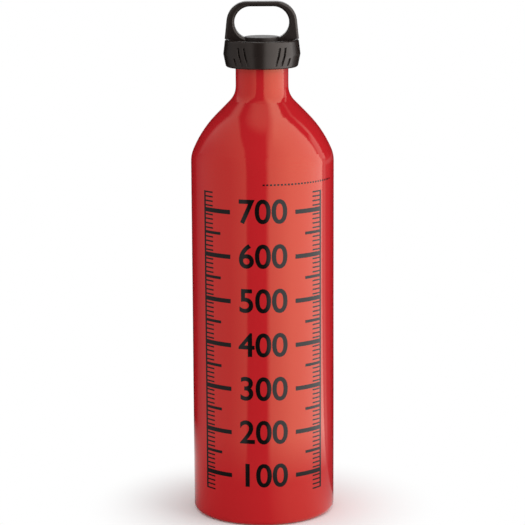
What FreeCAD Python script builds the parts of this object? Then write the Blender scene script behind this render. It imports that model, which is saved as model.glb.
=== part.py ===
import FreeCAD, Part
import math
import os
import Sketcher

# Camping fuel bottle: a drawn aluminium bottle with a push-and-turn stopper cap.
# The frame stands on the base: origin at the centre of the foot, +Z up the axis, -Y to the front.
# All lengths are millimetres. Names that end in angle are degrees, in count or turns plain numbers.

SIZES = {
    # Bottle: one wall from the foot to the lip
    "body_diameter": 75.8,
    "body_wall": 1.1,
    "straight_height": 190.1,
    "foot_corner_radius": 2.8,
    "foot_width": 3.2,
    "base_dome_rise": 5.0,
    "base_thickness": 1.6,
    "floor_corner_radius": 2.4,
    "shoulder_corner_radius": 16.5,
    "shoulder_corner_angle": 23.0,
    "shoulder_radius": 60.0,
    "shoulder_lean_angle": 44.8,
    "neck_blend_radius": 10.3,
    "neck_diameter": 27.9,
    "neck_height": 14.66,
    "neck_wall": 1.8,
    "lip_round_radius": 0.6,
    "lip_lead_in": 0.5,
    # Screw thread shared by the neck and the plug
    "thread_pitch": 3.0,
    "thread_depth": 1.1,
    "thread_root_width": 1.4,
    "thread_crest_width": 0.7,
    "thread_sink": 0.3,
    "thread_clearance": 0.3,
    "thread_below_lip": 1.5,
    "neck_thread_turns": 2.5,
    "plug_thread_turns": 2.0,
    # Plug: hollow stem, flange and drive teeth
    "stem_reach": 10.0,
    "stem_wall": 2.3,
    "stem_floor": 2.0,
    "stem_chamfer": 0.8,
    "flange_thickness": 2.0,
    "vent_count": 2,
    "vent_width": 2.4,
    "vent_depth": 0.4,
    "tooth_count": 8,
    "tooth_height": 1.6,
    "tooth_width": 3.6,
    "tooth_length": 3.2,
    "tooth_edge_inset": 0.8,
    # Gasket between the lip and the flange
    "gasket_thickness": 1.6,
    "gasket_stem_clearance": 0.2,
    "gasket_inset": 0.4,
    "gasket_round_radius": 0.3,
    # Spring and the washer on it
    "spring_wire_diameter": 1.3,
    "spring_turns": 5.5,
    "spring_clearance": 0.5,
    "spring_seat_gap": 0.05,
    "washer_thickness": 0.8,
    "washer_clearance": 0.4,
    "washer_bore_diameter": 7.0,
    # Grip ring: the double-cone skirt
    "skirt_drop": 4.3,
    "ring_foot_diameter": 38.1,
    "ring_waist_diameter": 40.6,
    "ring_top_diameter": 38.9,
    "ring_waist_height": 6.7,
    "ring_waist_radius": 0.8,
    "ring_edge_chamfer": 0.6,
    "ring_mouth_share": 0.675,
    "ring_wall": 3.35,
    "rim_wall": 1.65,
    "neck_clearance": 0.8,
    "ledge_thickness": 2.0,
    "ledge_gap": 0.2,
    "flange_clearance": 0.5,
    "groove_count": 2,
    "groove_width": 1.2,
    "groove_depth": 1.5,
    "groove_slant": 2.3,
    "groove_foot_inset": 1.6,
    "groove_top_inset": 3.2,
    "groove_start_angle": 25.0,
    "groove_pitch_angle": 10.3,
    "notch_height": 3.8,
    "notch_slant": 0.9,
    # Loop top: deck, drive lugs and carry loop
    "lug_gap": 0.4,
    "lug_length": 1.7,
    "lug_width": 3.6,
    "deck_thickness": 1.8,
    "deck_fit_gap": 0.05,
    "snap_bead_height": 0.3,
    "snap_bead_width": 0.8,
    "rim_height": 0.9,
    "loop_height": 20.7,
    "loop_depth": 8.5,
    "loop_bar": 2.5,
    "loop_corner_radius": 10.9,
    "loop_lean_angle": 6.0,
    "loop_foot_gap": 0.4,
    "loop_web_inset": 1.0,
    "loop_web_sink": 0.6,
    "loop_bevel": 0.9,
    "loop_leg_width": 4.1,
    "eye_sink": 0.9,
    # Disc set in the deck
    "disc_diameter": 18.6,
    "disc_rise": 2.3,
    "disc_sink": 0.4,
    "disc_fit_gap": 0.05,
    "disc_edge_radius": 0.4,
    # Overrun of every cut, and the room allowed when an edge is looked up by its place
    "cut_overrun": 1.0,
    "edge_tolerance": 0.001,
}

PLACES = {
    # Bottle outside, from the foot up
    "body_radius": "Sizes.body_diameter / 2",
    "foot_outer_radius": "body_radius - Sizes.foot_corner_radius",
    "foot_inner_radius": "foot_outer_radius - Sizes.foot_width",
    "dome_radius": "(foot_inner_radius ^ 2 + Sizes.base_dome_rise ^ 2) / (2 * Sizes.base_dome_rise)",
    "neck_radius": "Sizes.neck_diameter / 2",
    "lean_cosine": "cos(Sizes.shoulder_lean_angle)",
    "lean_sine": "sin(Sizes.shoulder_lean_angle)",
    "corner_cosine": "cos(Sizes.shoulder_corner_angle)",
    "corner_sine": "sin(Sizes.shoulder_corner_angle)",
    "corner_end_radius": "body_radius - Sizes.shoulder_corner_radius * (1 - corner_cosine)",
    "corner_end": "Sizes.straight_height + Sizes.shoulder_corner_radius * corner_sine",
    "shoulder_end_radius": "corner_end_radius - Sizes.shoulder_radius * (corner_cosine - lean_cosine)",
    "shoulder_end": "corner_end + Sizes.shoulder_radius * (lean_sine - corner_sine)",
    "cone_end_radius": "neck_radius + Sizes.neck_blend_radius * (1 - lean_cosine)",
    "cone_end": "shoulder_end + (shoulder_end_radius - cone_end_radius) * lean_cosine / lean_sine",
    "neck_start": "cone_end + Sizes.neck_blend_radius * lean_sine",
    "lip": "neck_start + Sizes.neck_height",
    # Bottle inside
    "inner_radius": "body_radius - Sizes.body_wall",
    "floor_radius": "inner_radius - Sizes.floor_corner_radius",
    "floor_corner_top": "Sizes.base_thickness + Sizes.floor_corner_radius",
    "dome_floor": "Sizes.base_dome_rise + Sizes.base_thickness",
    "inner_corner_radius": "Sizes.shoulder_corner_radius - Sizes.body_wall",
    "inner_corner_end_radius": "corner_end_radius - Sizes.body_wall * corner_cosine",
    "inner_corner_end": "corner_end - Sizes.body_wall * corner_sine",
    "inner_shoulder_radius": "Sizes.shoulder_radius - Sizes.body_wall",
    "inner_shoulder_end_radius": "shoulder_end_radius - Sizes.body_wall * lean_cosine",
    "inner_shoulder_end": "shoulder_end - Sizes.body_wall * lean_sine",
    "bore_radius": "neck_radius - Sizes.neck_wall",
    "inner_blend_radius": "Sizes.neck_blend_radius + Sizes.neck_wall",
    "inner_cone_end_radius": "bore_radius + inner_blend_radius * (1 - lean_cosine)",
    "inner_cone_end": "neck_start - inner_blend_radius * lean_sine",
    # Threads: the plug's ridge runs half a pitch above the neck's
    "neck_crest_radius": "bore_radius - Sizes.thread_depth",
    "neck_thread_start": "lip - Sizes.thread_below_lip - Sizes.neck_thread_turns * Sizes.thread_pitch",
    "plug_thread_start": "neck_thread_start + Sizes.thread_pitch / 2",
    "stem_radius": "neck_crest_radius - Sizes.thread_clearance",
    "plug_crest_radius": "bore_radius - Sizes.thread_clearance",
    # Grip ring, outside and inside
    "ring_foot_radius": "Sizes.ring_foot_diameter / 2",
    "ring_waist_reach": "Sizes.ring_waist_diameter / 2",
    "ring_top_radius": "Sizes.ring_top_diameter / 2",
    "ring_reach": "max(ring_foot_radius; ring_waist_reach; ring_top_radius)",
    "chamber_radius": "ring_waist_reach - Sizes.ring_wall",
    "ring_bore_radius": "ring_top_radius - Sizes.rim_wall",
    # Plug
    "stem_foot": "lip - Sizes.stem_reach",
    "well_radius": "stem_radius - Sizes.stem_wall",
    "well_floor": "stem_foot + Sizes.stem_floor",
    "flange_under": "lip + Sizes.gasket_thickness",
    "flange_top": "flange_under + Sizes.flange_thickness",
    "flange_radius": "chamber_radius - Sizes.flange_clearance",
    "tooth_outer_radius": "flange_radius - Sizes.tooth_edge_inset",
    "tooth_inner_radius": "tooth_outer_radius - Sizes.tooth_length",
    # Gasket
    "gasket_inner_radius": "stem_radius + Sizes.gasket_stem_clearance",
    "gasket_outer_radius": "min(neck_radius; flange_radius) - Sizes.gasket_inset",
    # Cap top, stacked on the flange
    "lug_foot": "flange_top + Sizes.tooth_height + Sizes.lug_gap",
    "deck_under": "lug_foot + Sizes.lug_length",
    "deck_top": "deck_under + Sizes.deck_thickness",
    "rim_top": "deck_top + Sizes.rim_height",
    "deck_radius": "ring_bore_radius - Sizes.deck_fit_gap",
    "deck_middle": "deck_under + Sizes.deck_thickness / 2",
    # Spring and washer between the plug's well and the deck
    "washer_under": "deck_under - Sizes.washer_thickness",
    "washer_radius": "well_radius - Sizes.washer_clearance",
    "spring_radius": "well_radius - Sizes.spring_clearance - Sizes.spring_wire_diameter / 2",
    "spring_start": "well_floor + Sizes.spring_seat_gap + Sizes.spring_wire_diameter / 2",
    "spring_end": "washer_under - Sizes.spring_seat_gap - Sizes.spring_wire_diameter / 2",
    # Grip ring, from its foot up
    "ring_foot": "lip - Sizes.skirt_drop",
    "ring_waist": "ring_foot + Sizes.ring_waist_height",
    "foot_edge_radius": "ring_foot_radius - Sizes.ring_edge_chamfer",
    "mouth_radius": "neck_radius + Sizes.ring_mouth_share * (foot_edge_radius - neck_radius)",
    "ledge_top": "flange_under - Sizes.ledge_gap",
    "ledge_under": "ledge_top - Sizes.ledge_thickness",
    "ledge_radius": "neck_radius + Sizes.neck_clearance",
    "groove_floor": "ring_waist_reach - Sizes.groove_depth",
    "groove_foot": "ring_foot + Sizes.groove_foot_inset",
    "groove_top": "rim_top - Sizes.groove_top_inset",
    "notch_top": "groove_foot + Sizes.notch_height",
    "notch_angle": "Sizes.groove_start_angle + Sizes.groove_pitch_angle * Sizes.groove_count",
    # Disc, which stands proud of the foot of the eye
    "disc_radius": "Sizes.disc_diameter / 2",
    "disc_foot": "deck_top - Sizes.disc_sink",
    "disc_top": "deck_top + Sizes.disc_rise",
    "disc_pocket_radius": "disc_radius + Sizes.disc_fit_gap",
    # Carry loop, drawn from its right foot up
    "loop_top": "deck_top + Sizes.loop_height",
    "loop_foot": "rim_top + Sizes.loop_foot_gap",
    "loop_foot_reach": "ring_top_radius",
    "corner_centre_height": "loop_top - Sizes.loop_corner_radius",
    "leg_top": "corner_centre_height + Sizes.loop_corner_radius * sin(Sizes.loop_lean_angle)",
    "leg_top_reach": "loop_foot_reach - (leg_top - loop_foot) * tan(Sizes.loop_lean_angle)",
    "corner_centre_reach": "leg_top_reach - Sizes.loop_corner_radius * cos(Sizes.loop_lean_angle)",
    "web_reach": "deck_radius - Sizes.loop_web_inset",
    "web_foot": "deck_top - Sizes.loop_web_sink",
    "eye_top": "loop_top - Sizes.loop_bar",
    "eye_foot": "disc_top - Sizes.eye_sink",
    "eye_end_radius": "(eye_top - eye_foot) / 2",
    "eye_middle": "eye_foot + eye_end_radius",
    "eye_reach": "leg_top_reach - Sizes.loop_leg_width",
    "eye_straight": "eye_reach - eye_end_radius",
}

FULL_TURN = 360
LEFT = 1
RIGHT = -1

doc = FreeCAD.newDocument("FuelBottle")


def fill_sheet(name, cells):
    """A sheet with one named cell per row."""
    sheet = doc.addObject("Spreadsheet::Sheet", name)
    for row, (alias, content) in enumerate(cells.items(), start=1):
        sheet.set(f"A{row}", alias)
        sheet.set(f"B{row}", content)
        sheet.setAlias(f"B{row}", alias)
    return sheet


sizes = fill_sheet("Sizes", {alias: str(number) for alias, number in SIZES.items()})
doc.recompute()
places = fill_sheet("Places", {alias: "=" + formula for alias, formula in PLACES.items()})
doc.recompute()


def value(expression):
    """The number that an expression over the sheets comes to now."""
    result = places.evalExpression(expression)
    return float(getattr(result, "Value", result))


def new_body(label):
    """An empty body and its own origin features by role."""
    body = doc.addObject("PartDesign::Body", label)
    body.Label = label
    origin = {feature.Role: feature for feature in body.Origin.OriginFeatures}
    return body, origin


def new_sketch(body, plane, name):
    sketch = body.newObject("Sketcher::SketchObject", name)
    sketch.AttachmentSupport = [(plane, "")]
    sketch.MapMode = "FlatFace"
    return sketch


def lift_sketch(sketch, height):
    """Raises a sketch off its plane to a height given as an expression."""
    sketch.setExpression("AttachmentOffset.Base.z", height)


def bind(sketch, constraint, expression):
    index = sketch.addConstraint(constraint)
    sketch.setExpression(f"Constraints[{index}]", expression)


def pin_point(sketch, edge, end, across, up):
    """Holds one end of an edge at a place given as two expressions."""
    for kind, axis, expression in (("DistanceX", -2, across), ("DistanceY", -1, up)):
        if expression == "0":
            sketch.addConstraint(Sketcher.Constraint("PointOnObject", edge, end, axis))
        else:
            distance = Sketcher.Constraint(kind, -1, 1, edge, end, value(expression))
            bind(sketch, distance, expression)


def arc_between(start, finish, radius, side):
    """The short arc between two points, with its centre on the left or right of the way."""
    chord = finish - start
    across = FreeCAD.Vector(-chord.y, chord.x, 0).normalize()
    rise = math.sqrt(max(radius ** 2 - (chord.Length / 2) ** 2, 0))
    centre = (start + finish) / 2 + across * rise * side
    first, last = (start, finish) if side == LEFT else (finish, start)
    angles = [math.atan2(point.y - centre.y, point.x - centre.x) for point in (first, last)]
    return Part.ArcOfCircle(Part.Circle(centre, FreeCAD.Vector(0, 0, 1), radius), *angles)


def draw_loop(sketch, corners):
    """A closed outline. A corner is (across, up), and (across, up, radius, side) starts an arc."""
    points = [FreeCAD.Vector(value(corner[0]), value(corner[1]), 0) for corner in corners]
    ends = []
    for corner, start, finish in zip(corners, points, points[1:] + points[:1]):
        if len(corner) == 2:
            edge = sketch.addGeometry(Part.LineSegment(start, finish), False)
            ends.append((edge, 1, 2))
        else:
            radius, side = corner[2:]
            edge = sketch.addGeometry(arc_between(start, finish, value(radius), side), False)
            ends.append((edge, 1, 2) if side == LEFT else (edge, 2, 1))
            bind(sketch, Sketcher.Constraint("Radius", edge, value(radius)), radius)
    for index, corner in enumerate(corners):
        edge, start, finish = ends[index]
        last_edge, last_start, last_finish = ends[index - 1]
        sketch.addConstraint(Sketcher.Constraint("Coincident", last_edge, last_finish, edge, start))
        pin_point(sketch, edge, start, corner[0], corner[1])


def draw_circle(sketch, across, up, radius):
    centre = FreeCAD.Vector(value(across), value(up), 0)
    circle = Part.Circle(centre, FreeCAD.Vector(0, 0, 1), value(radius))
    edge = sketch.addGeometry(circle, False)
    pin_point(sketch, edge, 3, across, up)
    bind(sketch, Sketcher.Constraint("Radius", edge, value(radius)), radius)


def draw_bar(sketch, inner, outer, width):
    """A radial bar about the sketch's own across axis."""
    half = f"{width} / 2"
    draw_loop(sketch, [
        (inner, "-" + half),
        (outer, "-" + half),
        (outer, half),
        (inner, half),
    ])


def revolve(body, origin, name, corners):
    """A turned solid about the axis, from an outline of (radius, height)."""
    sketch = new_sketch(body, origin["XZ_Plane"], name + "Outline")
    draw_loop(sketch, corners)
    feature = body.newObject("PartDesign::Revolution", name)
    feature.Profile = sketch
    feature.ReferenceAxis = (sketch, ["V_Axis"])
    feature.Angle = FULL_TURN
    doc.recompute()
    return feature


def wind(body, origin, name, pitch, turns, draw):
    """A right-handed helix of the section that draw puts in its sketch."""
    sketch = new_sketch(body, origin["XZ_Plane"], name + "Section")
    draw(sketch)
    feature = body.newObject("PartDesign::AdditiveHelix", name)
    feature.Profile = sketch
    feature.ReferenceAxis = (sketch, ["V_Axis"])
    feature.Mode = "pitch-turns-angle"
    feature.setExpression("Pitch", pitch)
    feature.setExpression("Turns", turns)
    doc.recompute()
    return feature


def ridge_section(root, crest, middle):
    """Corners of a thread ridge that stands from root to crest radius about a middle height."""
    root_half = "Sizes.thread_root_width / 2"
    crest_half = "Sizes.thread_crest_width / 2"
    return [
        (root, f"{middle} - {root_half}"),
        (crest, f"{middle} - {crest_half}"),
        (crest, f"{middle} + {crest_half}"),
        (root, f"{middle} + {root_half}"),
    ]


def pad(body, name, sketch, length, reverse=False, both_ways=False):
    feature = body.newObject("PartDesign::Pad", name)
    feature.Profile = sketch
    feature.Reversed = reverse
    feature.Midplane = both_ways
    feature.setExpression("Length", length)
    doc.recompute()
    return feature


def pocket(body, name, sketch, length, reverse=False):
    """A cut, which has to take something away. Its faces stay as they are cut."""
    before = body.Shape.Volume
    feature = body.newObject("PartDesign::Pocket", name)
    feature.Profile = sketch
    feature.Reversed = reverse
    feature.Refine = False
    feature.setExpression("Length", length)
    doc.recompute()
    if not feature.Shape.Volume < before:
        raise RuntimeError(f"{name} cuts nothing")
    return feature


def repeat_round(body, origin, name, feature, count):
    """Copies of a feature spread evenly about the axis."""
    pattern = body.newObject("PartDesign::PolarPattern", name)
    pattern.Originals = [feature]
    pattern.Axis = (origin["Z_Axis"], [""])
    pattern.Angle = FULL_TURN
    pattern.setExpression("Occurrences", count)
    body.Tip = pattern
    doc.recompute()
    return pattern


def is_level_circle(edge):
    """True for a circle that lies level."""
    return edge.Curve.TypeId == "Part::GeomCircle" and abs(edge.Curve.Axis.z) > abs(edge.Curve.Axis.x)


def edges_where(feature, test):
    """Names of the edges of a feature that pass a test."""
    named = enumerate(feature.Shape.Edges, start=1)
    return [f"Edge{number}" for number, edge in named if test(edge)]


def dress(body, kind, name, base, test, size_name, size):
    """A fillet or chamfer on the edges of a feature that pass a test."""
    edges = edges_where(base, test)
    feature = body.newObject(kind, name)
    feature.Base = (base, edges)
    feature.setExpression(size_name, size)
    doc.recompute()
    return feature


def make_bottle_body():
    """Drawn bottle: domed-in base, straight side, shoulder, neck with an inside thread."""
    body, origin = new_body("bottle_body")
    revolve(body, origin, "BottleWall", [
        ("0", "Sizes.base_dome_rise", "Places.dome_radius", RIGHT),
        ("Places.foot_inner_radius", "0"),
        ("Places.foot_outer_radius", "0", "Sizes.foot_corner_radius", LEFT),
        ("Places.body_radius", "Sizes.foot_corner_radius"),
        ("Places.body_radius", "Sizes.straight_height", "Sizes.shoulder_corner_radius", LEFT),
        ("Places.corner_end_radius", "Places.corner_end", "Sizes.shoulder_radius", LEFT),
        ("Places.shoulder_end_radius", "Places.shoulder_end"),
        ("Places.cone_end_radius", "Places.cone_end", "Sizes.neck_blend_radius", RIGHT),
        ("Places.neck_radius", "Places.neck_start"),
        ("Places.neck_radius", "Places.lip - Sizes.lip_round_radius", "Sizes.lip_round_radius", LEFT),
        ("Places.neck_radius - Sizes.lip_round_radius", "Places.lip"),
        ("Places.bore_radius + Sizes.lip_lead_in", "Places.lip"),
        ("Places.bore_radius", "Places.lip - Sizes.lip_lead_in"),
        ("Places.bore_radius", "Places.neck_start", "Places.inner_blend_radius", LEFT),
        ("Places.inner_cone_end_radius", "Places.inner_cone_end"),
        ("Places.inner_shoulder_end_radius", "Places.inner_shoulder_end",
         "Places.inner_shoulder_radius", RIGHT),
        ("Places.inner_corner_end_radius", "Places.inner_corner_end",
         "Places.inner_corner_radius", RIGHT),
        ("Places.inner_radius", "Sizes.straight_height"),
        ("Places.inner_radius", "Places.floor_corner_top", "Sizes.floor_corner_radius", RIGHT),
        ("Places.floor_radius", "Sizes.base_thickness"),
        ("Places.foot_inner_radius", "Sizes.base_thickness", "Places.dome_radius", LEFT),
        ("0", "Places.dome_floor"),
    ])
    root = "Places.bore_radius + Sizes.thread_sink"
    ridge = ridge_section(root, "Places.neck_crest_radius", "Places.neck_thread_start")
    wind(body, origin, "NeckThread", "Sizes.thread_pitch", "Sizes.neck_thread_turns",
         lambda sketch: draw_loop(sketch, ridge))
    return body


def make_threaded_plug():
    """Stopper: hollow stem with a vented thread, flange, and a crown of drive teeth."""
    body, origin = new_body("threaded_plug")
    revolve(body, origin, "PlugWall", [
        ("0", "Places.stem_foot"),
        ("Places.stem_radius - Sizes.stem_chamfer", "Places.stem_foot"),
        ("Places.stem_radius", "Places.stem_foot + Sizes.stem_chamfer"),
        ("Places.stem_radius", "Places.flange_under"),
        ("Places.flange_radius", "Places.flange_under"),
        ("Places.flange_radius", "Places.flange_top"),
        ("Places.well_radius", "Places.flange_top"),
        ("Places.well_radius", "Places.well_floor"),
        ("0", "Places.well_floor"),
    ])
    root = "Places.stem_radius - Sizes.thread_sink"
    ridge = ridge_section(root, "Places.plug_crest_radius", "Places.plug_thread_start")
    wind(body, origin, "PlugThread", "Sizes.thread_pitch", "Sizes.plug_thread_turns",
         lambda sketch: draw_loop(sketch, ridge))
    vent = new_sketch(body, origin["XY_Plane"], "VentSection")
    lift_sketch(vent, "Places.stem_foot")
    vent_half = "Sizes.vent_width / 2"
    vent_floor = "Places.stem_radius - Sizes.vent_depth"
    vent_reach = "Places.plug_crest_radius + Sizes.cut_overrun"
    draw_loop(vent, [
        ("-" + vent_half, vent_floor),
        (vent_half, vent_floor),
        (vent_half, vent_reach),
        ("-" + vent_half, vent_reach),
    ])
    cut = pocket(body, "VentSlot", vent, "Sizes.stem_reach", reverse=True)
    repeat_round(body, origin, "VentSlots", cut, "Sizes.vent_count")
    tooth = new_sketch(body, origin["XY_Plane"], "ToothSection")
    lift_sketch(tooth, "Places.flange_top")
    draw_bar(tooth, "Places.tooth_inner_radius", "Places.tooth_outer_radius", "Sizes.tooth_width")
    raised = pad(body, "DriveTooth", tooth, "Sizes.tooth_height")
    repeat_round(body, origin, "DriveTeeth", raised, "Sizes.tooth_count")
    return body


def make_lip_gasket():
    """Flat rubber ring that lies on the lip, round the plug's stem."""
    body, origin = new_body("lip_gasket")
    ring = revolve(body, origin, "GasketRing", [
        ("Places.gasket_inner_radius", "Places.lip"),
        ("Places.gasket_outer_radius", "Places.lip"),
        ("Places.gasket_outer_radius", "Places.flange_under"),
        ("Places.gasket_inner_radius", "Places.flange_under"),
    ])
    dress(body, "PartDesign::Fillet", "GasketRound", ring, is_level_circle,
          "Radius", "Sizes.gasket_round_radius")
    return body


def make_return_spring():
    """Coil spring that stands in the plug's well and holds the cap up."""
    body, origin = new_body("return_spring")
    pitch = "(Places.spring_end - Places.spring_start) / Sizes.spring_turns"
    wind(body, origin, "SpringCoil", pitch, "Sizes.spring_turns",
         lambda sketch: draw_circle(sketch, "Places.spring_radius", "Places.spring_start",
                                    "Sizes.spring_wire_diameter / 2"))
    return body


def make_slip_washer():
    """Flat washer between the spring and the turning deck."""
    body, origin = new_body("slip_washer")
    sketch = new_sketch(body, origin["XY_Plane"], "WasherSection")
    lift_sketch(sketch, "Places.washer_under")
    draw_circle(sketch, "0", "0", "Places.washer_radius")
    draw_circle(sketch, "0", "0", "Sizes.washer_bore_diameter / 2")
    pad(body, "WasherDisc", sketch, "Sizes.washer_thickness")
    return body


def cut_groove(body, origin, name, turn, top, slant):
    """One slanted groove in the skirt's right front, at an angle off the front."""
    sketch = new_sketch(body, origin["XZ_Plane"], name + "Section")
    upright = FreeCAD.Rotation(FreeCAD.Vector(0, 1, 0), value(turn))
    sketch.AttachmentOffset = FreeCAD.Placement(FreeCAD.Vector(), upright)
    sketch.setExpression("AttachmentOffset.Rotation.Angle", turn)
    sketch.setExpression("AttachmentOffset.Base.x", f"Places.groove_floor * sin({turn})")
    sketch.setExpression("AttachmentOffset.Base.z", f"Places.groove_floor * cos({turn})")
    outer_side = f"({slant} + Sizes.groove_width) / 2"
    inner_side = f"({slant} - Sizes.groove_width) / 2"
    draw_loop(sketch, [
        (f"-{outer_side}", "Places.groove_foot"),
        (f"-{inner_side}", "Places.groove_foot"),
        (outer_side, top),
        (inner_side, top),
    ])
    groove_way = "Places.ring_reach - Places.groove_floor + Sizes.cut_overrun"
    return pocket(body, name, sketch, groove_way, reverse=True)


def repeat_on_sides(body, origin, name, feature, row):
    """Copies of a feature along a row, if there is one, then on the left and on the back."""
    copies = body.newObject("PartDesign::MultiTransform", name)
    copies.Originals = [feature]
    copies.Refine = False
    other_side = body.newObject("PartDesign::Mirrored", name + "OtherSide")
    other_side.MirrorPlane = (origin["YZ_Plane"], [""])
    back = body.newObject("PartDesign::Mirrored", name + "Back")
    back.MirrorPlane = (origin["XZ_Plane"], [""])
    copies.Transformations = row + [other_side, back]
    body.Tip = copies
    doc.recompute()


def make_grip_ring():
    """Double-cone skirt with a ledge under the plug's flange, a deck seat and grip grooves."""
    body, origin = new_body("grip_ring")
    edge = "Sizes.ring_edge_chamfer"
    bead_half = "Sizes.snap_bead_width / 2"
    wall = revolve(body, origin, "RingWall", [
        ("Places.foot_edge_radius", "Places.ring_foot"),
        ("Places.ring_foot_radius", f"Places.ring_foot + {edge}"),
        ("Places.ring_waist_reach", "Places.ring_waist"),
        ("Places.ring_top_radius", f"Places.rim_top - {edge}"),
        (f"Places.ring_top_radius - {edge}", "Places.rim_top"),
        ("Places.ring_bore_radius", "Places.rim_top"),
        ("Places.ring_bore_radius", f"Places.deck_middle + {bead_half}"),
        ("Places.ring_bore_radius + Sizes.snap_bead_height", "Places.deck_middle"),
        ("Places.ring_bore_radius", f"Places.deck_middle - {bead_half}"),
        ("Places.ring_bore_radius", "Places.deck_under"),
        ("Places.chamber_radius", "Places.deck_under"),
        ("Places.chamber_radius", "Places.ledge_top"),
        ("Places.ledge_radius", "Places.ledge_top"),
        ("Places.ledge_radius", "Places.ledge_under"),
        ("Places.mouth_radius", "Places.ring_foot"),
    ])
    waist = value("Places.ring_waist")
    tolerance = value("Sizes.edge_tolerance")
    dress(body, "PartDesign::Fillet", "RingWaist", wall,
          lambda rim: abs(rim.CenterOfMass.z - waist) < tolerance and is_level_circle(rim),
          "Radius", "Sizes.ring_waist_radius")
    groove = cut_groove(body, origin, "GripGroove", "Sizes.groove_start_angle",
                        "Places.groove_top", "Sizes.groove_slant")
    row = body.newObject("PartDesign::PolarPattern", "GrooveRow")
    row.Axis = (origin["Z_Axis"], [""])
    row.setExpression("Angle", "Sizes.groove_pitch_angle * (Sizes.groove_count - 1)")
    row.setExpression("Occurrences", "Sizes.groove_count")
    repeat_on_sides(body, origin, "GripGrooves", groove, [row])
    notch = cut_groove(body, origin, "GripNotch", "Places.notch_angle",
                       "Places.notch_top", "Sizes.notch_slant")
    repeat_on_sides(body, origin, "GripNotches", notch, [])
    return body


def make_loop_top():
    """Cap top: carry loop on a sunk deck, with drive lugs below."""
    body, origin = new_body("loop_top")
    plate = new_sketch(body, origin["XZ_Plane"], "LoopOutline")
    draw_loop(plate, [
        ("Places.web_reach", "Places.web_foot"),
        ("Places.web_reach", "Places.loop_foot"),
        ("Places.loop_foot_reach", "Places.loop_foot"),
        ("Places.leg_top_reach", "Places.leg_top", "Sizes.loop_corner_radius", LEFT),
        ("Places.corner_centre_reach", "Places.loop_top"),
        ("-Places.corner_centre_reach", "Places.loop_top", "Sizes.loop_corner_radius", LEFT),
        ("-Places.leg_top_reach", "Places.leg_top"),
        ("-Places.loop_foot_reach", "Places.loop_foot"),
        ("-Places.web_reach", "Places.loop_foot"),
        ("-Places.web_reach", "Places.web_foot"),
    ])
    draw_loop(plate, [
        ("Places.eye_straight", "Places.eye_foot", "Places.eye_end_radius", LEFT),
        ("Places.eye_reach", "Places.eye_middle", "Places.eye_end_radius", LEFT),
        ("Places.eye_straight", "Places.eye_top"),
        ("-Places.eye_straight", "Places.eye_top", "Places.eye_end_radius", LEFT),
        ("-Places.eye_reach", "Places.eye_middle", "Places.eye_end_radius", LEFT),
        ("-Places.eye_straight", "Places.eye_foot"),
    ])
    loop = pad(body, "LoopPlate", plate, "Sizes.loop_depth", both_ways=True)
    face = value("Sizes.loop_depth / 2")
    foot = value("Places.loop_foot")
    tolerance = value("Sizes.edge_tolerance")

    def is_loop_edge(edge):
        middle = edge.CenterOfMass
        on_face = all(abs(abs(vertex.Y) - face) < tolerance for vertex in edge.Vertexes)
        return on_face and abs(abs(middle.y) - face) < tolerance and middle.z > foot + tolerance

    dress(body, "PartDesign::Chamfer", "LoopBevel", loop, is_loop_edge, "Size", "Sizes.loop_bevel")
    bead_half = "Sizes.snap_bead_width / 2"
    revolve(body, origin, "Deck", [
        ("0", "Places.deck_under"),
        ("Places.deck_radius", "Places.deck_under"),
        ("Places.deck_radius", f"Places.deck_middle - {bead_half}"),
        ("Places.deck_radius + Sizes.snap_bead_height", "Places.deck_middle"),
        ("Places.deck_radius", f"Places.deck_middle + {bead_half}"),
        ("Places.deck_radius", "Places.deck_top"),
        ("0", "Places.deck_top"),
    ])
    seat = new_sketch(body, origin["XY_Plane"], "DiscSeatSection")
    lift_sketch(seat, "Places.disc_foot")
    draw_circle(seat, "0", "0", "Places.disc_pocket_radius")
    seat_depth = "Places.disc_top - Places.disc_foot + Sizes.cut_overrun"
    pocket(body, "DiscSeat", seat, seat_depth, reverse=True)
    lug = new_sketch(body, origin["XY_Plane"], "LugSection")
    lift_sketch(lug, "Places.deck_under")
    lug.setExpression("AttachmentOffset.Rotation.Angle", "180 / Sizes.tooth_count")
    draw_bar(lug, "Places.tooth_inner_radius", "Places.tooth_outer_radius", "Sizes.lug_width")
    hung = pad(body, "DriveLug", lug, "Sizes.lug_length", reverse=True)
    repeat_round(body, origin, "DriveLugs", hung, "Sizes.tooth_count")
    return body


def make_top_disc():
    """Smooth disc set in the deck between the feet of the loop."""
    body, origin = new_body("top_disc")
    disc = revolve(body, origin, "Disc", [
        ("0", "Places.disc_foot"),
        ("Places.disc_radius", "Places.disc_foot"),
        ("Places.disc_radius", "Places.disc_top"),
        ("0", "Places.disc_top"),
    ])
    top = value("Places.disc_top")
    tolerance = value("Sizes.edge_tolerance")
    dress(body, "PartDesign::Fillet", "DiscEdge", disc,
          lambda rim: abs(rim.CenterOfMass.z - top) < tolerance and is_level_circle(rim),
          "Radius", "Sizes.disc_edge_radius")
    return body


sub_parts = [
    make_bottle_body(),
    make_threaded_plug(),
    make_lip_gasket(),
    make_return_spring(),
    make_slip_washer(),
    make_grip_ring(),
    make_loop_top(),
    make_top_disc(),
]
doc.recompute()

for item in doc.Objects:
    if "Invalid" in item.State or "Error" in item.State:
        raise RuntimeError(f"{item.Name} failed: {item.getStatusString()}")
for sub_part in sub_parts:
    if sub_part.Shape.isNull() or not sub_part.Shape.isValid():
        raise RuntimeError(f"{sub_part.Label} has no valid shape")

os.makedirs("parts", exist_ok=True)
for sub_part in sub_parts:
    sub_part.Shape.exportStep(f"parts/{sub_part.Label}.step")
    box = sub_part.Shape.BoundBox
    print(f"{sub_part.Label}: {len(sub_part.Shape.Solids)} solid, {sub_part.Shape.Volume:.1f} mm3, "
          f"z {box.ZMin:.2f} to {box.ZMax:.2f}")
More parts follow.
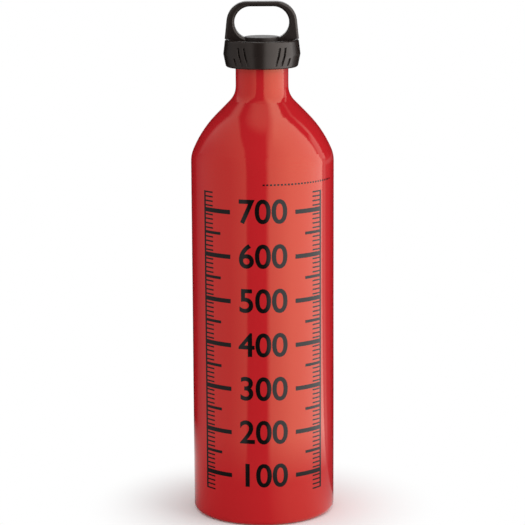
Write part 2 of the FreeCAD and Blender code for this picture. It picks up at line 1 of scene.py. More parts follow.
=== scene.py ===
# %% [markdown]
# # A camping fuel bottle with a push-and-turn cap
#
# The solids of the bottle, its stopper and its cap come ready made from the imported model, in metres,
# standing on the origin with the carry loop facing us along -Y. This lesson gives each of them its real
# finish, adds the print and the coil spring, and sets up a small studio round the bottle.

# %% load the solids
import math

import bmesh
import bpy
from mathutils import Matrix, Vector


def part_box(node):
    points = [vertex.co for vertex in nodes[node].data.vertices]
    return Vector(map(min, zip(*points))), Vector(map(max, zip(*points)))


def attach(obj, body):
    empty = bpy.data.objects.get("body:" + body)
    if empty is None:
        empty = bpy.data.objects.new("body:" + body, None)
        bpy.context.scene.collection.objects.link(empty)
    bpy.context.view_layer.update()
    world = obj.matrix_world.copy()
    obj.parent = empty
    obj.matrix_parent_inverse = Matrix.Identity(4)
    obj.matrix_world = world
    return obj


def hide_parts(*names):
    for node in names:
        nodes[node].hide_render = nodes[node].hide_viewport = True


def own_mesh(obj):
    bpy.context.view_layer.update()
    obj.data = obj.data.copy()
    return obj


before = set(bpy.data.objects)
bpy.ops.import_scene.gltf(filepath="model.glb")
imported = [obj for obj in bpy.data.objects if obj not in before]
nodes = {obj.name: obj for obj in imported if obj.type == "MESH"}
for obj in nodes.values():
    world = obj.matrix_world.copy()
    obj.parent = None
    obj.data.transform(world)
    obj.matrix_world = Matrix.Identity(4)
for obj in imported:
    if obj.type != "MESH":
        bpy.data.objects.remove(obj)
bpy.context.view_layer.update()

MM = 0.001
print("solids:", sorted(nodes))

# %% [markdown]
# ## The camera
#
# The picture was taken from a little over a metre away with a long lens, about 11 degrees above the
# bottle's middle. We could orbit a camera by eye until it looks right, but the outline of a turned body
# pins the camera down, so its place was solved from the straight side, the shoulder and the foot.
# The bottle leans by about 0.3 of a degree in the picture, so the camera is rolled by as much.

# %% camera
CAMERA_PLACE = Vector((-0.00023, -1.12385, 0.35321))
CAMERA_AIM = Vector((-0.00023, 0.0, 0.13500))
CAMERA_LENS = 146.76
CAMERA_SENSOR = 36.0
CAMERA_ROLL = math.radians(-0.290)


def standing_at(place, aim):
    """The matrix of a camera or a lamp that stands at a place and looks at its aim."""
    return Matrix.Translation(place) @ (aim - place).to_track_quat("-Z", "Y").to_matrix().to_4x4()


scene = bpy.context.scene
camera_data = bpy.data.cameras.new("bottle_camera")
camera_data.lens = CAMERA_LENS
camera_data.sensor_width = CAMERA_SENSOR
camera = bpy.data.objects.new("bottle_camera", camera_data)
camera.matrix_world = standing_at(CAMERA_PLACE, CAMERA_AIM) @ Matrix.Rotation(CAMERA_ROLL, 4, "Z")
scene.collection.objects.link(camera)
bpy.context.scene.camera = camera
print("camera", round((CAMERA_AIM - CAMERA_PLACE).length, 3), "m from its aim")

# %% [markdown]
# ## Small tools for the finishes
#
# Every finish here is a node tree, and node trees get long. They could be wired by hand in the editor, but
# a few short helpers keep them readable as code: one adds any node with its settings and sockets in a
# single line, some do sums, and the rest make the grain, the blends and the bumps that finishes share.

# %% helpers for nodes and sums
def add_node(tree, kind, inputs=None, **settings):
    """Adds a node; an input is either a plain value or the output of another node."""
    made = tree.nodes.new(kind)
    for name, setting in settings.items():
        setattr(made, name, setting)
    for socket, source in (inputs or {}).items():
        if isinstance(source, bpy.types.NodeSocket):
            tree.links.new(source, made.inputs[socket])
        else:
            made.inputs[socket].default_value = source
    return made


def calc(tree, operation, *values):
    """The result of a Math node."""
    return add_node(tree, "ShaderNodeMath", dict(enumerate(values)), operation=operation).outputs[0]


def vector_calc(tree, operation, *vectors):
    """The result of a Vector Math node: a number for a dot product or a length, and else a vector."""
    made = add_node(tree, "ShaderNodeVectorMath", dict(enumerate(vectors)), operation=operation)
    return made.outputs["Value" if operation in ("DOT_PRODUCT", "LENGTH") else "Vector"]


def parts_of(tree, vector):
    """The x, y and z of a vector."""
    return add_node(tree, "ShaderNodeSeparateXYZ", {0: vector}).outputs


def share_between(tree, value, start, full, kind="LINEAR"):
    """How far a value has come on its way from start to full, as 0 to 1."""
    return add_node(tree, "ShaderNodeMapRange", {"Value": value, "From Min": start, "From Max": full},
                    interpolation_type=kind).outputs[0]


def spread(tree, share, low, high):
    """A share from 0 to 1 taken to a range of its own."""
    return add_node(tree, "ShaderNodeMapRange", {"Value": share, "To Min": low, "To Max": high}).outputs[0]


print("helpers for nodes and sums ready")


# %% helpers for finishes
def start_finish(name, **sockets):
    """A new material, its tree and its shader, with plain values set on the shader's own sockets."""
    material = bpy.data.materials.new(name)
    material.use_nodes = True
    tree = material.node_tree
    shader = tree.nodes["Principled BSDF"]
    for socket, value in sockets.items():
        shader.inputs[socket.replace("_", " ")].default_value = value
    return material, tree, shader


def object_place(tree):
    """The point being shaded, in the object's own metres."""
    return add_node(tree, "ShaderNodeTexCoord").outputs["Object"]


def face_normal(tree):
    """The way the surface faces at the point being shaded."""
    return add_node(tree, "ShaderNodeNewGeometry").outputs["Normal"]


def grain(tree, place, cells, detail, stretch=(1.0, 1.0, 1.0)):
    """Noise with a given number of cells per metre."""
    stretched = add_node(tree, "ShaderNodeMapping", {"Vector": place, "Scale": stretch}).outputs[0]
    noise = add_node(tree, "ShaderNodeTexNoise", {"Vector": stretched, "Scale": cells, "Detail": detail})
    return noise.outputs["Fac"]


def blend_colours(tree, share, first, second):
    """Two colours mixed by a share that goes from 0 to 1."""
    return add_node(tree, "ShaderNodeMix", {0: share, 6: first, 7: second}, data_type="RGBA").outputs[2]


def dent(tree, shader, height, depth, **rounded):
    """Bumps a shader by a height map whose full swing is depth metres, on a Normal where one is given."""
    bump = add_node(tree, "ShaderNodeBump", {"Height": height, "Distance": depth, **rounded})
    tree.links.new(bump.outputs[0], shader.inputs["Normal"])


print("helpers for finishes ready")

# %% [markdown]
# ## The red lacquer
#
# The bottle is drawn from one slug of aluminium and sprayed with a gloss red lacquer, outside only.
# Three things sell a lacquer: a clear, only slightly soft reflection, an orange-peel ripple of a
# millimetre or two, and a reflection that is never quite even. The inside stays bare metal with rings
# from the drawing tool. Two materials would need the faces sorted, so one does both: a face that looks
# away from the axis is lacquered, and in the lower half one that looks up is floor, and bare.

# %% where the lacquer lies
LACQUER_IOR = 1.60
GLOSS_TINT = (1.0, 0.60, 0.34, 1.0)
LEVEL = (1.0, 1.0, 0.0)
MID_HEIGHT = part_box("bottle_body")[1].z / 2
STEEP = 0.2
JUST_INWARDS = -0.02 * MM

lacquer, tree, shader = start_finish("bottle_lacquer", IOR=LACQUER_IOR, Specular_Tint=GLOSS_TINT)
place = object_place(tree)
facing = face_normal(tree)
outwards = vector_calc(tree, "DOT_PRODUCT", vector_calc(tree, "MULTIPLY", place, LEVEL), facing)
upwards = parts_of(tree, facing)["Z"]
lower_half = calc(tree, "LESS_THAN", parts_of(tree, place)["Z"], MID_HEIGHT)
inside_floor = calc(tree, "MULTIPLY", lower_half, calc(tree, "GREATER_THAN", upwards, STEEP))
underside = calc(tree, "MULTIPLY", lower_half, calc(tree, "LESS_THAN", upwards, -STEEP))
outside = calc(tree, "SUBTRACT", calc(tree, "GREATER_THAN", outwards, JUST_INWARDS), inside_floor)
painted = calc(tree, "MAXIMUM", outside, underside)
print("the floor inside lies below", round(MID_HEIGHT / MM, 1), "mm")

# %% lacquer and bare inside
RED = (0.505, 0.0155, 0.0205, 1.0)
DEEP_RED = (0.475, 0.0135, 0.0185, 1.0)
ALUMINIUM = (0.78, 0.78, 0.77, 1.0)
CLOUD_CELLS = 14.0
GLOSS_CELLS = 45.0
GLOSS_ROUGH = (0.045, 0.085)
RING_CELLS = 60.0
RING_STRETCH = (0.2, 0.2, 30.0)
BARE_ROUGH = (0.30, 0.45)
PEEL_CELLS = 420.0
PEEL_DEPTH = 0.004 * MM

red = blend_colours(tree, grain(tree, place, CLOUD_CELLS, detail=3.0), DEEP_RED, RED)
tree.links.new(blend_colours(tree, painted, ALUMINIUM, red), shader.inputs["Base Color"])
tree.links.new(calc(tree, "SUBTRACT", 1.0, painted), shader.inputs["Metallic"])
drawn = spread(tree, grain(tree, place, RING_CELLS, detail=2.0, stretch=RING_STRETCH), *BARE_ROUGH)
gloss = spread(tree, grain(tree, place, GLOSS_CELLS, detail=4.0), *GLOSS_ROUGH)
rough = add_node(tree, "ShaderNodeMix", {0: painted, 2: drawn, 3: gloss}, data_type="FLOAT").outputs[0]
tree.links.new(rough, shader.inputs["Roughness"])
dent(tree, shader, grain(tree, place, PEEL_CELLS, detail=1.0), PEEL_DEPTH)
nodes["bottle_body"].data.materials[0] = lacquer
print("lacquer nodes:", len(tree.nodes))

# %% [markdown]
# ## The print
#
# The front carries black screen print: a measuring ladder that is true to the bottle. The straight side
# holds the same volume in each millimetre, so the bars for every 10, 50 and 100 millilitres follow from
# the inner radius, counted from just above the foot because the floor inside is domed. A dashed line
# shows how far to fill. It could be a mask in the lacquer, but ink is a film of its own, so it is first
# laid out flat, with x round the bottle and z up it.

# %% blocks of ink
SAME_PLACE = 0.001 * MM
SLIVER_AREA = SAME_PLACE ** 2


def add_block(bm, start, end, middle, thickness):
    """A flat block of ink between two places round the bottle, about a height."""
    left, right = sorted((start, end))
    low = middle - thickness / 2
    high = middle + thickness / 2
    corners = ((left, low), (right, low), (right, high), (left, high))
    bm.faces.new([bm.verts.new((x, 0.0, z)) for x, z in corners])


def merge_points(bm, near):
    """Merges points that lie close together and dissolves the slivers between the faces."""
    bmesh.ops.remove_doubles(bm, verts=bm.verts, dist=near)
    slivers = [face for face in bm.faces if face.calc_area() < SLIVER_AREA]
    longest = [max(face.edges, key=lambda edge: edge.calc_length()) for face in slivers]
    bmesh.ops.dissolve_edges(bm, edges=longest)


print("points merge within", round(SAME_PLACE / MM, 4), "mm")

# %% numerals
NUMERAL_SIZE = 17.5 * MM
NUMERAL_WEIGHT = 0.30 * MM
WEIGHT_STEPS = 10
CLOSE_POINTS = 0.10 * MM


def make_bolder(bm):
    """Grows flat letters by many small insets turned outwards, so that no narrow corner folds over."""
    for _ in range(WEIGHT_STEPS):
        rim = bmesh.ops.inset_region(bm, faces=bm.faces[:], thickness=-NUMERAL_WEIGHT / WEIGHT_STEPS,
                                     use_boundary=True, use_even_offset=True)["faces"]
        bmesh.ops.delete(bm, geom=rim, context="FACES")
        merge_points(bm, CLOSE_POINTS)


def add_numeral(bm, number, height):
    """A number on the middle line, from outline letters made a mesh."""
    letters = bpy.data.curves.new("numeral", "FONT")
    letters.body = str(number)
    letters.size = NUMERAL_SIZE
    letters.align_x = "CENTER"
    letters.align_y = "CENTER"
    holder = bpy.data.objects.new("numeral", letters)
    flat = bpy.data.meshes.new_from_object(holder)
    shaped = bmesh.new()
    shaped.from_mesh(flat)
    merge_points(shaped, CLOSE_POINTS)
    make_bolder(shaped)
    shaped.to_mesh(flat)
    shaped.free()
    flat.transform(Matrix.Translation((0.0, 0.0, height)) @ Matrix.Rotation(math.pi / 2, 4, "X"))
    bm.from_mesh(flat)
    bpy.data.objects.remove(holder)
    bpy.data.curves.remove(letters)
    bpy.data.meshes.remove(flat)


print("numerals", round(NUMERAL_SIZE / MM, 1), "mm in size")

# %% ladder laid out flat
BODY_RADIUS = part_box("bottle_body")[1].x
WALL = 1.1 * MM
INNER_RADIUS = BODY_RADIUS - WALL
MILLILITRE = 1.0e-6
ZERO_HEIGHT = 3.6 * MM
LADDER_REACH = 34.0 * MM
RAIL_WIDTH = 1.3 * MM
# Each kind of mark has its step in millilitres, its length and its thickness.
LADDER_MARKS = ((100, 16.5 * MM, 2.3 * MM), (50, 10.5 * MM, 1.5 * MM), (10, 5.5 * MM, 0.8 * MM))
LADDER_FIRST = 60
LADDER_LAST = 740
LADDER_STEP = 10
NUMERAL_STEP = 100


def height_of(millilitres):
    """Height to which a volume fills the straight side."""
    return ZERO_HEIGHT + millilitres * MILLILITRE / (math.pi * INNER_RADIUS ** 2)


bm = bmesh.new()
rail_top = None
for millilitres in range(LADDER_FIRST, LADDER_LAST + 1, LADDER_STEP):
    length, thickness = next(mark[1:] for mark in LADDER_MARKS if millilitres % mark[0] == 0)
    middle = height_of(millilitres)
    rail_foot = middle - thickness / 2
    for side in (-1, 1):
        rail = (side * LADDER_REACH, side * (LADDER_REACH + RAIL_WIDTH))
        add_block(bm, side * (LADDER_REACH - length), rail[0], middle, thickness)
        add_block(bm, *rail, middle, thickness)
        if rail_top is not None:
            add_block(bm, *rail, (rail_top + rail_foot) / 2, rail_foot - rail_top)
    rail_top = middle + thickness / 2
    if millilitres % NUMERAL_STEP == 0:
        add_numeral(bm, millilitres, middle)
print("ladder from", round(height_of(LADDER_FIRST) / MM, 1), "mm to", round(rail_top / MM, 1), "mm up")

# %% fill line laid out flat
FILL_HEIGHT = 182.7 * MM
FILL_REACH = math.radians(71.0) * BODY_RADIUS
DASH_PITCH = 1.9 * MM
DASH_LENGTH = 1.1 * MM
DASH_THICKNESS = 0.85 * MM

dashes = int(FILL_REACH / DASH_PITCH)
for dash in range(dashes):
    start = dash * DASH_PITCH
    add_block(bm, start, start + DASH_LENGTH, FILL_HEIGHT, DASH_THICKNESS)
merge_points(bm, SAME_PLACE)
print("dashes:", dashes, "and blocks of ink in all:", len(bm.faces))

# %% [markdown]
# ## Wrapping the print
#
# A screen printer rolls the bottle along under a flat screen, so every width on the screen becomes the
# same length round the side. We do likewise: cut the flat film into narrow strips, turn each x into an
# angle and give the film its depth. A curve modifier could bend it too, but this leaves nothing live.

# %% print wrapped on the side
STRIP = 1.0 * MM
INK_LIFT = 0.015 * MM
INK_DEPTH = 0.06 * MM

strips = int(FILL_REACH / STRIP)
for cut in range(-strips, strips + 1):
    bmesh.ops.bisect_plane(bm, geom=bm.verts[:] + bm.edges[:] + bm.faces[:],
                           plane_co=(cut * STRIP, 0.0, 0.0), plane_no=(1.0, 0.0, 0.0))
merge_points(bm, SAME_PLACE)
reach = BODY_RADIUS + INK_LIFT
for vert in bm.verts:
    turn = vert.co.x / BODY_RADIUS
    vert.co = (reach * math.sin(turn), -reach * math.cos(turn), vert.co.z)
bmesh.ops.solidify(bm, geom=bm.faces[:], thickness=INK_DEPTH)
print("ink film", round(INK_DEPTH / MM, 3), "mm deep, faces:", len(bm.faces))

# %% ink
SHARP_ANGLE = math.radians(35.0)
INK_IOR = 1.50
INK_SHINE = 0.25
INK_DARK = (0.0035, 0.0026, 0.0026, 1.0)
INK_LIGHT = (0.0062, 0.0046, 0.0044, 1.0)
SPECKLE_CELLS = 900.0
INK_CELLS = 160.0
INK_ROUGH = (0.10, 0.18)
SCREEN_CELLS = 2400.0
SCREEN_DEPTH = 0.003 * MM


def add_piece(name, bm, body, finish):
    """Makes an object of a bmesh, smooth but for its sharp edges, that rides on a body."""
    bmesh.ops.recalc_face_normals(bm, faces=bm.faces)
    mesh = bpy.data.meshes.new(name)
    bm.to_mesh(mesh)
    bm.free()
    mesh.shade_smooth()
    mesh.set_sharp_from_angle(angle=SHARP_ANGLE)
    mesh.materials.append(finish)
    piece = bpy.data.objects.new(name, mesh)
    scene.collection.objects.link(piece)
    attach(piece, body)
    return piece


ink, tree, shader = start_finish("black_ink", IOR=INK_IOR, Specular_IOR_Level=INK_SHINE)
place = object_place(tree)
tree.links.new(blend_colours(tree, grain(tree, place, SPECKLE_CELLS, detail=3.0), INK_DARK, INK_LIGHT),
               shader.inputs["Base Color"])
tree.links.new(spread(tree, grain(tree, place, INK_CELLS, detail=3.0), *INK_ROUGH),
               shader.inputs["Roughness"])
dent(tree, shader, grain(tree, place, SCREEN_CELLS, detail=1.0), SCREEN_DEPTH)
ladder = add_piece("measuring_print", bm, "bottle", ink)
print("print with", len(ladder.data.polygons), "faces, ink nodes:", len(tree.nodes))

# %% [markdown]
# ## Plastics and rubber of the cap
#
# The skirt and the loop are glass-filled nylon: charcoal black and satin, with the fine pebble that a
# spark-eroded mould leaves. The solids have crisp edges, but no moulded edge is truly sharp, so a Bevel
# node rounds the shading there, and the same node tells where the edges are, to polish them a little as
# hands do and to paint them lighter: partly the wear of rubbing, partly a painted highlight. The disc,
# the plug, the gasket and the slip washer are the same recipe with other numbers.

# %% moulded skin
PLASTIC_IOR = 1.50
PLASTIC_SHINE = 0.37
WARM_GLOSS = (1.0, 0.92, 0.86, 1.0)
MOTTLE_CELLS = 90.0
PEBBLE_CELLS = 2600.0
EDGE_ROUND = 0.3 * MM
# How much lighter the edges are painted than the plastic: partly rubbing wear, partly a painted highlight.
EDGE_WEAR_AND_HIGHLIGHT = 2.2
EDGE_SAMPLES = 6
# An edge shows where the rounded normal turns from the plain one: dot products of no rub and no painted
# highlight, and of full rub and full painted highlight.
EDGE_TURN = (0.998, 0.93)
EDGE_POLISH = 0.08


def moulded(name, dark, light, rough, pebble, edge_round=EDGE_ROUND, edge_wear_and_highlight=EDGE_WEAR_AND_HIGHLIGHT):
    """Moulded plastic or rubber with a pebbled skin, and edges polished and painted lighter: rubbing wear
    plus a painted highlight.
    """
    material, tree, shader = start_finish(name, IOR=PLASTIC_IOR, Specular_IOR_Level=PLASTIC_SHINE,
                                          Specular_Tint=WARM_GLOSS)
    place = object_place(tree)
    mottle = grain(tree, place, MOTTLE_CELLS, detail=4.0)
    skin = grain(tree, place, PEBBLE_CELLS, detail=2.0)
    rounded = add_node(tree, "ShaderNodeBevel", {"Radius": edge_round}, samples=EDGE_SAMPLES).outputs[0]
    turned = vector_calc(tree, "DOT_PRODUCT", face_normal(tree), rounded)
    rubbed_and_highlit = share_between(tree, turned, *EDGE_TURN)
    # The edges are painted towards a lighter copy of the plastic: partly rubbing wear, partly a painted
    # highlight.
    worn_and_highlit = tuple(channel * edge_wear_and_highlight for channel in light[:3]) + (1.0,)
    body = blend_colours(tree, mottle, dark, light)
    tree.links.new(blend_colours(tree, calc(tree, "MULTIPLY", rubbed_and_highlit, mottle), body, worn_and_highlit),
                   shader.inputs["Base Color"])
    polish = calc(tree, "MULTIPLY", rubbed_and_highlit, EDGE_POLISH)
    tree.links.new(calc(tree, "SUBTRACT", spread(tree, skin, *rough), polish), shader.inputs["Roughness"])
    dent(tree, shader, skin, pebble, Normal=rounded)
    return material


print("moulded edges rounded by", round(EDGE_ROUND / MM, 2), "mm unless a recipe says otherwise")

# %% moulded finishes
# A recipe may set how much lighter its edges are painted: partly rubbing wear, partly a painted highlight.
RECIPES = {
    "cap_nylon": dict(dark=(0.0112, 0.0076, 0.0066, 1.0), light=(0.0170, 0.0119, 0.0104, 1.0),
                      rough=(0.20, 0.29), pebble=0.006 * MM, edge_round=0.7 * MM),
    "disc_nylon": dict(dark=(0.0120, 0.0086, 0.0078, 1.0), light=(0.0180, 0.0130, 0.0118, 1.0),
                       rough=(0.33, 0.43), pebble=0.004 * MM),
    "plug_nylon": dict(dark=(0.0090, 0.0088, 0.0086, 1.0), light=(0.0135, 0.0132, 0.0130, 1.0),
                       rough=(0.30, 0.42), pebble=0.01 * MM),
    "gasket_rubber": dict(dark=(0.012, 0.012, 0.012, 1.0), light=(0.022, 0.021, 0.020, 1.0),
                          rough=(0.70, 0.88), pebble=0.03 * MM, edge_wear_and_highlight=1.3),
    "washer_acetal": dict(dark=(0.74, 0.71, 0.64, 1.0), light=(0.80, 0.78, 0.72, 1.0),
                          rough=(0.30, 0.40), pebble=0.01 * MM, edge_wear_and_highlight=1.05),
}
FINISHED_SOLIDS = {
    "cap_nylon": ("grip_ring", "loop_top"),
    "disc_nylon": ("top_disc",),
    "plug_nylon": ("threaded_plug",),
    "gasket_rubber": ("lip_gasket",),
    "washer_acetal": ("slip_washer",),
}

for name, recipe in RECIPES.items():
    finish = moulded(name, **recipe)
    for node in FINISHED_SOLIDS[name]:
        nodes[node].data.materials[0] = finish
print("moulded finishes:", sorted(RECIPES))

# %% [markdown]
# ## The coil spring
#
# Inside the cap a coil spring holds the shell off the drive teeth until somebody pushes it down. A ring
# of points spun round the axis with a little rise at each step gives the wire its true section all the
# way. The solid can't shorten, so this piece stands for it and rides on the plug.

# %% coil of wire
WIRE = 1.3 * MM
WIRE_SIDES = 14
COIL_TURNS = 5.5
TURN_STEPS = 48

low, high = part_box("return_spring")
coil_radius = high.x - WIRE / 2
coil_foot = low.z + WIRE / 2
coil_rise = high.z - low.z - WIRE
steps = int(COIL_TURNS * TURN_STEPS)

bm = bmesh.new()
section = bmesh.ops.create_circle(bm, cap_ends=False, segments=WIRE_SIDES, radius=WIRE / 2,
                                  matrix=Matrix.Translation((coil_radius, 0.0, coil_foot))
                                  @ Matrix.Rotation(math.pi / 2, 4, "X"))["verts"]
bmesh.ops.spin(bm, geom=section + bm.edges[:], cent=(0.0, 0.0, 0.0), axis=(0.0, 0.0, 1.0),
               dvec=(0.0, 0.0, coil_rise / steps), angle=2 * math.pi * COIL_TURNS, steps=steps)
bmesh.ops.holes_fill(bm, edges=[edge for edge in bm.edges if edge.is_boundary])
print("coil", round(2 * coil_radius / MM, 2), "mm in mean diameter, faces:", len(bm.faces))

# %% spring
STEEL_DARK = (0.46, 0.46, 0.45, 1.0)
STEEL_LIGHT = (0.62, 0.62, 0.60, 1.0)
STEEL_ROUGH = (0.24, 0.36)
STREAK_CELLS = 300.0
STREAK_STRETCH = (1.0, 1.0, 4.0)
STREAK_DEPTH = 0.01 * MM

steel, tree, shader = start_finish("spring_steel", Metallic=1.0)
streak = grain(tree, object_place(tree), STREAK_CELLS, detail=3.0, stretch=STREAK_STRETCH)
tree.links.new(blend_colours(tree, streak, STEEL_DARK, STEEL_LIGHT), shader.inputs["Base Color"])
tree.links.new(spread(tree, streak, *STEEL_ROUGH), shader.inputs["Roughness"])
dent(tree, shader, streak, STREAK_DEPTH)

spring = add_piece("coil_spring", bm, "plug", steel)
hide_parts("return_spring")
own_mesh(spring)

# %% [markdown]
# ## The studio
#
# A white room lights the bottle from all round, and a white floor carries its shadow. Close to the foot
# the floor is plain lit paint. Further out it fades to pure white wherever the camera, gloss or glass
# sees it, so that the picture has no horizon.

# %% room
scene.view_settings.view_transform = "Standard"
ROOM_LIGHT = 0.90
SEEN_LIGHT = 1.0
WHITE = (1.0, 1.0, 1.0, 1.0)


def seen_share(tree):
    """1 for a ray that comes straight from the camera, or by way of gloss or glass."""
    path = add_node(tree, "ShaderNodeLightPath").outputs
    return calc(tree, "MAXIMUM", path["Is Camera Ray"],
                calc(tree, "MAXIMUM", path["Is Glossy Ray"], path["Is Transmission Ray"]))


world = bpy.data.worlds.new("white_room")
world.use_nodes = True
scene.world = world
tree = world.node_tree
room = tree.nodes["Background"]
room.inputs["Color"].default_value = WHITE
tree.links.new(spread(tree, seen_share(tree), ROOM_LIGHT, SEEN_LIGHT), room.inputs["Strength"])
print("room lights at", ROOM_LIGHT, "and is seen at", SEEN_LIGHT)

# %% floor
FLOOR_RADIUS = 9.0
FLOOR_SIDES = 96
FLOOR_GAP = 0.02 * MM
FLOOR_FADE = (0.040, 0.098)
FLOOR_PAINT = (0.88, 0.88, 0.88, 1.0)
FLOOR_ROUGH = 0.7


def add_backdrop(name, bm, finish):
    """Makes an object of a bmesh that belongs to the studio and not to the bottle."""
    mesh = bpy.data.meshes.new(name)
    bm.to_mesh(mesh)
    bm.free()
    mesh.materials.append(finish)
    backdrop = bpy.data.objects.new(name, mesh)
    scene.collection.objects.link(backdrop)
    return backdrop


floor_paint, tree, shader = start_finish("floor_paint", Base_Color=FLOOR_PAINT, Roughness=FLOOR_ROUGH,
                                         Specular_IOR_Level=0.0)
away = vector_calc(tree, "LENGTH", object_place(tree))
far = share_between(tree, away, *FLOOR_FADE, kind="SMOOTHSTEP")
white = add_node(tree, "ShaderNodeEmission", {"Color": WHITE, "Strength": SEEN_LIGHT})
fade = add_node(tree, "ShaderNodeMixShader", {0: calc(tree, "MULTIPLY", far, seen_share(tree)),
                                              1: shader.outputs[0], 2: white.outputs[0]})
tree.links.new(fade.outputs[0], tree.nodes["Material Output"].inputs["Surface"])

bm = bmesh.new()
bmesh.ops.create_circle(bm, cap_ends=True, segments=FLOOR_SIDES, radius=FLOOR_RADIUS,
                        matrix=Matrix.Translation((0.0, 0.0, -FLOOR_GAP)))
floor = add_backdrop("floor", bm, floor_paint)
print("floor", 2 * FLOOR_RADIUS, "m across")

# %% [markdown]
# ## The lamp
#
# One soft lamp on the right gives the bottle its modelling. It could show in the gloss as well, but its
# hard edges would cut through the reflections, so it lights the colours alone and a tent does the rest.

# %% lamp
LAMP_PLACE = Vector((0.72, -0.36, 0.42))
LAMP_AIM = Vector((0.0, 0.0, 0.14))
LAMP_SIZE = 0.60
LAMP_POWER = 2.9

lamp_data = bpy.data.lights.new("right_lamp", "AREA")
lamp_data.shape = "SQUARE"
lamp_data.size = LAMP_SIZE
lamp_data.energy = LAMP_POWER
lamp = bpy.data.objects.new("right_lamp", lamp_data)
lamp.matrix_world = standing_at(LAMP_PLACE, LAMP_AIM)
lamp.visible_camera = False
lamp.visible_glossy = False
scene.collection.objects.link(lamp)
print("lamp", LAMP_POWER, "W")

# %% [markdown]
# ## The light tent
#
# What the lacquer mirrors is the tent round it: pale cloth, brighter where a lamp stands behind it, with a
# dark slit for the camera and dark cloth towards the back. A real tent would hide the bottle from every
# other side, so this one, a bent line spun round the axis, is seen by glossy rays alone. It is left open
# right behind the bottle, where the outermost rim of the lacquer mirrors the white room.

# %% light tent
TENT_RADIUS = 0.60
TENT_HEM = 0.0372
TENT_FOOT = 0.5 * MM
TENT_PEAK = 0.002
TENT_HEIGHT = 2.40
TENT_OPENING = math.radians(28.0)
TENT_STEPS = 84

cloth = bpy.data.materials.new("tent_cloth")
bm = bmesh.new()
corners = ((TENT_HEM, TENT_FOOT), (TENT_RADIUS, TENT_FOOT), (TENT_RADIUS, TENT_HEIGHT),
           (TENT_PEAK, TENT_HEIGHT))
outline = [bm.verts.new((0.0, out, height)) for out, height in corners]
outline += [bm.edges.new(ends) for ends in zip(outline, outline[1:])]
bmesh.ops.rotate(bm, verts=bm.verts, cent=(0.0, 0.0, 0.0),
                 matrix=Matrix.Rotation(TENT_OPENING / 2, 3, "Z"))
bmesh.ops.spin(bm, geom=outline, cent=(0.0, 0.0, 0.0), axis=(0.0, 0.0, 1.0),
               angle=2 * math.pi - TENT_OPENING, steps=TENT_STEPS)
tent = add_backdrop("light_tent", bm, cloth)
for ray in ("camera", "diffuse", "transmission", "shadow", "volume_scatter"):
    setattr(tent, "visible_" + ray, False)
print("tent faces:", len(tent.data.polygons))

# %% [markdown]
# ## The glow of the cloth
#
# The streaks on the shoulder and down the side are this cloth's bright and dark parts. A painted picture
# could carry them, but a few angles say the same: pairs of degrees and brightness, which a colour ramp
# joins up. Each pair was set by turning to where its streak lies on the lacquer. Degrees count from the
# front, positive to the right. Angles overhead are taken from the height of the shoulder, because it is
# the shoulder that mirrors the cloth up there.

# %% places on the cloth
SHOULDER_HEIGHT = 0.20
FULL_TURN = 360.0

cloth.use_nodes = True
tree = cloth.node_tree
tree.nodes.clear()


def glow_by(tree, angle, pairs):
    """Brightness by an angle, from pairs of degrees and brightness."""
    ramp = add_node(tree, "ShaderNodeValToRGB", {0: share_between(tree, angle, -math.pi, math.pi)})
    stops = ramp.color_ramp.elements
    for number, (degrees, glow) in enumerate(pairs):
        stop = stops[number] if number < len(stops) else stops.new(1.0)
        stop.position = degrees / FULL_TURN + 0.5
        stop.color = (glow, glow, glow, 1.0)
    return ramp.outputs[0]


place = object_place(tree)
across, along, up = parts_of(tree, place)
front = calc(tree, "MULTIPLY", along, -1.0)
rise = calc(tree, "MAXIMUM", calc(tree, "SUBTRACT", up, SHOULDER_HEIGHT), 0.0)
turn = calc(tree, "ARCTAN2", across, front)
right = calc(tree, "GREATER_THAN", across, 0.0)
print("angles overhead are taken from", SHOULDER_HEIGHT, "m up")

# %% [markdown]
# ## The slit for the camera
#
# The camera looks in by a dark slit, with dimmer cloth on its left and the brightest on its right. It
# could go by the turn round the bottle, but it runs up the front and on overhead, so its sides go by the
# angle from the middle plane. Overhead its left side moves out, and its right side is softer, by pairs of
# its own.

# %% slit
LEFT_OF_SLIT = ((-90.0, 0.52), (-52.0, 0.55), (-35.0, 0.82), (-26.5, 0.95), (-23.5, 0.02))
SLIT_SIDES = LEFT_OF_SLIT + ((4.5, 0.02), (11.0, 1.90), (45.0, 3.00), (90.0, 3.30))
OVERHEAD_SIDES = LEFT_OF_SLIT + (
    (3.0, 0.02), (9.0, 1.10), (13.0, 2.00), (18.0, 2.95), (45.0, 2.85), (90.0, 3.10),
)
OVERHEAD = (math.radians(40.0), math.radians(72.0))
LEFT_WIDENS = math.radians(6.2)

overhead = share_between(tree, calc(tree, "ARCTAN2", rise, front), *OVERHEAD, kind="SMOOTHSTEP")
widening = calc(tree, "MULTIPLY", overhead, spread(tree, right, LEFT_WIDENS, 0.0))
from_axis = calc(tree, "SQRT", calc(tree, "ADD", calc(tree, "MULTIPLY", along, along),
                                    calc(tree, "MULTIPLY", rise, rise)))
aside = calc(tree, "ADD", calc(tree, "ARCTAN2", across, from_axis), widening)
slit = blend_colours(tree, overhead, glow_by(tree, aside, SLIT_SIDES),
                     glow_by(tree, aside, OVERHEAD_SIDES))
print("slit nodes:", len(tree.nodes))

# %% [markdown]
# ## The ends of the cloth
#
# Behind the bottle the cloth ends on both sides, and dark cloth follows. Each end leans forwards as it
# rises, the right one only up to a bend, and low down the left cloth dims towards its end. Straight ends
# would be simpler, but then the dark edges of side, neck and shoulder couldn't all lie where they do.
# For the same reason strips of lit cloth show again behind the right end, each at its own heights.

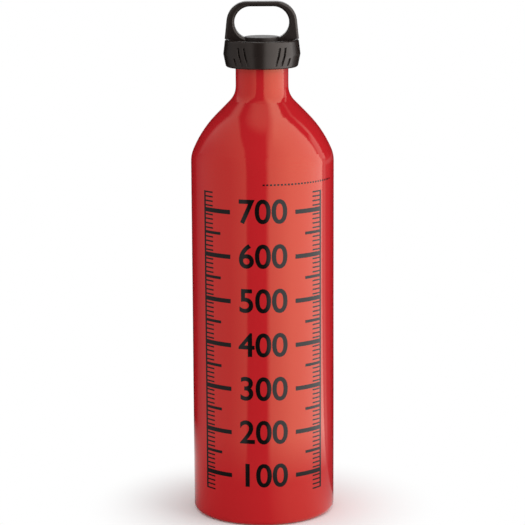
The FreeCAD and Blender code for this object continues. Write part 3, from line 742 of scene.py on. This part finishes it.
# %% ends and strips
CLOTH_ENDS = ((-134.0, 0.00), (-127.0, 1.00), (107.5, 1.00), (110.5, 0.00))
LEFT_LEAN = 0.17
RIGHT_LEAN = 0.20
RIGHT_BEND = 0.52
LOW_CLOTH = ((-134.0, 0.10), (-125.0, 0.20), (-107.0, 0.68), (-87.0, 1.00))
LOW_CLOTH_REACH = 0.35
# Each strip has its pairs, then its lower and its upper edge: the height of no glow and of full glow.
BACK_STRIPS = (
    (((107.5, 0.00), (109.5, 1.08), (111.0, 0.48), (114.5, 0.80), (118.5, 0.35), (122.0, 0.13),
      (140.0, 0.00)), (-0.10, -0.05), (0.28, 0.21)),
    (((112.0, 0.00), (117.0, 0.50), (128.0, 0.34), (140.0, 0.14), (155.0, 0.05), (166.0, 0.00)),
     (0.125, 0.145), (0.20, 0.18)),
    (((106.0, 0.00), (108.0, 1.10), (118.0, 1.25), (121.5, 0.00)), (0.20, 0.27), (0.58, 0.50)),
    (((112.5, 0.00), (115.5, 1.30), (118.5, 1.30), (121.5, 0.00)), (0.20, 0.26), (1.05, 0.55)),
)

lean = spread(tree, right, LEFT_LEAN, RIGHT_LEAN)
leaning_rise = calc(tree, "MINIMUM", rise, spread(tree, right, TENT_HEIGHT, RIGHT_BEND))
leaning_front = calc(tree, "MULTIPLY", calc(tree, "MULTIPLY_ADD", leaning_rise, lean, along), -1.0)
ends = glow_by(tree, calc(tree, "ARCTAN2", across, leaning_front), CLOTH_ENDS)
dimmed = calc(tree, "MAXIMUM", glow_by(tree, turn, LOW_CLOTH),
              share_between(tree, rise, 0.0, LOW_CLOTH_REACH))
wall = calc(tree, "MULTIPLY", calc(tree, "MULTIPLY", slit, ends), dimmed)
for pairs, *edges in BACK_STRIPS:
    strip = glow_by(tree, turn, pairs)
    for none, full in edges:
        strip = calc(tree, "MULTIPLY", strip, share_between(tree, up, none, full))
    wall = calc(tree, "MAXIMUM", wall, strip)
print("strips behind the right end:", len(BACK_STRIPS))

# %% [markdown]
# ## The ceiling and the floor in the tent
#
# Two patches of lit ceiling show in the shoulder, one through the top of the slit and one behind it. Below,
# the floor close to the foot is duller than the cloth beyond it, and it too goes by pairs. The cloth only
# has to be mirrored, so Cycles is told to cast no light from it.

# %% ceiling and near floor
# Each patch has the way to its middle, the dot products at its rim and at its core, and its brightness.
CEILING_SPOTS = (
    (Vector((0.05, -0.04, 0.998)).normalized(), 0.87, 0.990, 0.95),
    (Vector((0.00, 0.55, 0.835)).normalized(), 0.86, 0.95, 0.60),
)
NEAR_FLOOR = (
    (-166.0, 0.70), (-142.0, 0.65), (-125.0, 0.45), (-87.0, 0.19), (-52.0, 0.08), (4.0, 0.08),
    (14.0, 0.35), (28.0, 0.62), (45.0, 0.66), (68.0, 0.80), (80.0, 0.73), (95.0, 0.53), (110.0, 0.38),
    (114.0, 0.06), (130.0, 0.03),
)
NEAR_FLOOR_REACH = (0.11, 0.20)

above = add_node(tree, "ShaderNodeCombineXYZ", {0: across, 1: along, 2: rise}).outputs[0]
aim = vector_calc(tree, "NORMALIZE", above)
for middle, rim, core, glow in CEILING_SPOTS:
    closeness = vector_calc(tree, "DOT_PRODUCT", aim, middle)
    spot = calc(tree, "MULTIPLY", share_between(tree, closeness, rim, core, kind="SMOOTHSTEP"), glow)
    wall = calc(tree, "MAXIMUM", wall, spot)
beyond = share_between(tree, vector_calc(tree, "LENGTH", place), *NEAR_FLOOR_REACH)
seen = blend_colours(tree, beyond, glow_by(tree, turn, NEAR_FLOOR), wall)
lit = add_node(tree, "ShaderNodeEmission", {"Color": seen, "Strength": 1.0})
add_node(tree, "ShaderNodeOutputMaterial", {"Surface": lit.outputs[0]})
cloth.cycles.emission_sampling = "NONE"
print("cloth nodes:", len(tree.nodes))
